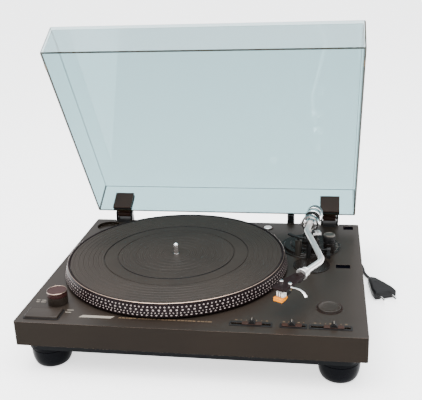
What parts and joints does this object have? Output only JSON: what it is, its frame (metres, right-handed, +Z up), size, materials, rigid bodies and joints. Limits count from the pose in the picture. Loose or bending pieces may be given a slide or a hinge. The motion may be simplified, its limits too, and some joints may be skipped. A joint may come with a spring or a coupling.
{
  "type": "record player",
  "caption": "Belt-driven record player with a low plinth on round feet, an S-shaped tonearm with a counterweight, and a clear hinged dust cover standing open.",
  "frame": {"origin": "on the floor, under the middle of the outline that the player has with its cover open (the free mains cord left out)", "axes": "+X to the right along the 450 mm front, +Y to the back, +Z up"},
  "size_m": [0.5063, 0.4883, 0.4222],
  "materials": {
    "plinth_paint": "dark charcoal, semi-gloss",
    "tray_paint": "black, satin",
    "foot_plastic": "black, semi-gloss",
    "zinc_screw": "zinc plated",
    "board_green": "printed circuit board",
    "black_plastic": "black, fine texture",
    "black_gloss": "black, smooth",
    "core_steel": "laminated core",
    "motor_steel": "plain",
    "belt_rubber": "ground rubber",
    "mat_rubber": "dark brown-grey, ribbed",
    "platter_alloy": "turned, dark strobe rim, bright lip",
    "chrome": "polished",
    "satin_silver": "satin silver",
    "brass": "turned",
    "white_plastic": "white",
    "orange_plastic": "orange",
    "red_lens": "red lens",
    "hinge_brown": "brown-black",
    "clear_cover": "clear, faint smoke blue-grey",
    "bumper_clear": "clear soft pads",
    "cord_black": "black"
  },
  "bodies": {
    "root": {"top_chassis": "plinth_paint", "base_tray": "tray_paint", "feet": "foot_plastic", "foot_screws": "zinc_screw", "case_screws": "zinc_screw", "circuit_board": "board_green", "control_switches": "black_plastic", "power_transformer": "core_steel", "motor_can": "motor_steel", "drive_belt": "belt_rubber", "bearing_housing": "motor_steel", "tonearm_base": "black_gloss", "lift_cylinder": "satin_silver", "arm_rest": "black_plastic", "strobe_tower": "plinth_paint", "strobe_lamp": "red_lens", "control_bezels": "black_plastic", "headshell_holder": "black_plastic", "rear_panel": "black_plastic", "phono_jacks": "brass", "ground_terminal": "zinc_screw", "cord_relief": "black_plastic", "hinge_bases": "black_plastic", "hinge_pins": "zinc_screw", "mains_cord": "cord_black", "cord_coil": "cord_black", "mains_plug": "cord_black", "plug_pins": "chrome"},
    "platter": {"platter": "platter_alloy", "platter_mat": "mat_rubber", "spindle": "chrome"},
    "pulley": {"motor_pulley": "brass"},
    "yoke": {"gimbal_yoke": "chrome", "gimbal_screws": "chrome"},
    "arm": {"pivot_block": "chrome", "arm_tube": "satin_silver", "rear_stub": "satin_silver", "headshell": "black_gloss", "headshell_screws": "chrome", "cartridge": "white_plastic", "stylus": "orange_plastic", "finger_lift": "satin_silver"},
    "collar": {"lock_collar": "satin_silver"},
    "bush": {"weight_bush": "black_plastic"},
    "weight": {"counterweight": "chrome"},
    "dial": {"force_dial": "black_gloss"},
    "skate_knob": {"anti_skate_knob": "black_gloss"},
    "cue": {"cue_lever": "black_plastic"},
    "lift": {"lift_platform": "black_plastic"},
    "clip": {"arm_clip": "satin_silver"},
    "power": {"power_knob": "plinth_paint"},
    "start": {"start_button": "plinth_paint"},
    "stop": {"stop_button": "plinth_paint"},
    "pitch_33": {"pitch_slider_33": "black_plastic"},
    "speed": {"speed_slider": "black_plastic"},
    "pitch_45": {"pitch_slider_45": "black_plastic"},
    "light": {"stylus_light": "satin_silver"},
    "cover": {"dust_cover": "clear_cover", "cover_bumpers": "bumper_clear", "hinge_arms": "hinge_brown"}
  },
  "joints": [
    {"name": "platter_spin", "type": "hinge", "parent": "root", "child": "platter", "pos_m": [-0.046, -0.018, 0.09], "axis": [0, 0, 1], "continuous": true},
    {"name": "pulley_spin", "type": "hinge", "parent": "root", "child": "pulley", "pos_m": [-0.15425, 0.0445, 0.075], "axis": [0, 0, 1], "continuous": true},
    {"name": "arm_swing", "type": "hinge", "parent": "root", "child": "yoke", "pos_m": [0.148, 0.067, 0.114], "axis": [0, 0, 1], "range_deg": [-46, 0]},
    {"name": "arm_lift", "type": "hinge", "parent": "yoke", "child": "arm", "pos_m": [0.148, 0.067, 0.114], "axis": [-0.9903, 0.1392, 0], "range_deg": [0, 10]},
    {"name": "collar_turn", "type": "hinge", "parent": "arm", "child": "collar", "pos_m": [0.14384, -0.11088, 0.114], "axis": [-0.497, -0.8678, 0], "range_deg": [0, 60]},
    {"name": "weight_travel", "type": "slide", "parent": "arm", "child": "bush", "axis": [0.1392, 0.9903, 0], "range_m": [-0.004, 0.012]},
    {"name": "weight_turn", "type": "hinge", "parent": "bush", "child": "weight", "pos_m": [0.148, 0.067, 0.114], "axis": [0.1392, 0.9903, 0], "range_deg": [-720, 2160]},
    {"name": "force_dial_turn", "type": "hinge", "parent": "weight", "child": "dial", "pos_m": [0.148, 0.067, 0.114], "axis": [0.1392, 0.9903, 0], "range_deg": [-180, 180]},
    {"name": "anti_skate_turn", "type": "hinge", "parent": "root", "child": "skate_knob", "pos_m": [0.177, 0.046, 0.095], "axis": [0, 0, 1], "range_deg": [0, 270]},
    {"name": "cue_lever_turn", "type": "hinge", "parent": "root", "child": "cue", "pos_m": [0.16, 0.032, 0.0854], "axis": [-1, 0, 0], "range_deg": [0, 60]},
    {"name": "lift_travel", "type": "slide", "parent": "root", "child": "lift", "axis": [0, 0, 1], "range_m": [0, 0.004]},
    {"name": "arm_clip_turn", "type": "hinge", "parent": "root", "child": "clip", "pos_m": [0.15383, 0.02356, 0.1158], "axis": [-0.2198, 0.9755, 0], "range_deg": [-130, 0]},
    {"name": "power_turn", "type": "hinge", "parent": "root", "child": "power", "pos_m": [-0.184, -0.147, 0.087], "axis": [0, 0, 1], "range_deg": [0, 60]},
    {"name": "start_press", "type": "slide", "parent": "root", "child": "start", "axis": [0, 0, -1], "range_m": [0, 0.002], "stiffness_N_per_m": 400, "springref_m": -0.001},
    {"name": "stop_press", "type": "slide", "parent": "root", "child": "stop", "axis": [0, 0, -1], "range_m": [0, 0.002], "stiffness_N_per_m": 400, "springref_m": -0.001},
    {"name": "pitch_33_slide", "type": "slide", "parent": "root", "child": "pitch_33", "axis": [1, 0, 0], "range_m": [-0.016, 0.013]},
    {"name": "speed_slide", "type": "slide", "parent": "root", "child": "speed", "axis": [1, 0, 0], "range_m": [-0.0045, 0.0065]},
    {"name": "pitch_45_slide", "type": "slide", "parent": "root", "child": "pitch_45", "axis": [1, 0, 0], "range_m": [-0.018, 0.01]},
    {"name": "stylus_light_rise", "type": "slide", "parent": "root", "child": "light", "axis": [0, 0, 1], "range_m": [0, 0.016]},
    {"name": "cover_turn", "type": "hinge", "parent": "root", "child": "cover", "pos_m": [0, 0.17, 0.084], "axis": [-1, 0, 0], "range_deg": [-58.6, 0]}
  ],
  "couplings": [
    {"joint": "pulley_spin", "follows": "platter_spin", "ratio": 18},
    {"joint": "weight_turn", "follows": "weight_travel", "rad_per_m": 3141.6},
    {"joint": "cue_lever_turn", "follows": "lift_travel", "rad_per_m": 261.8}
  ]
}
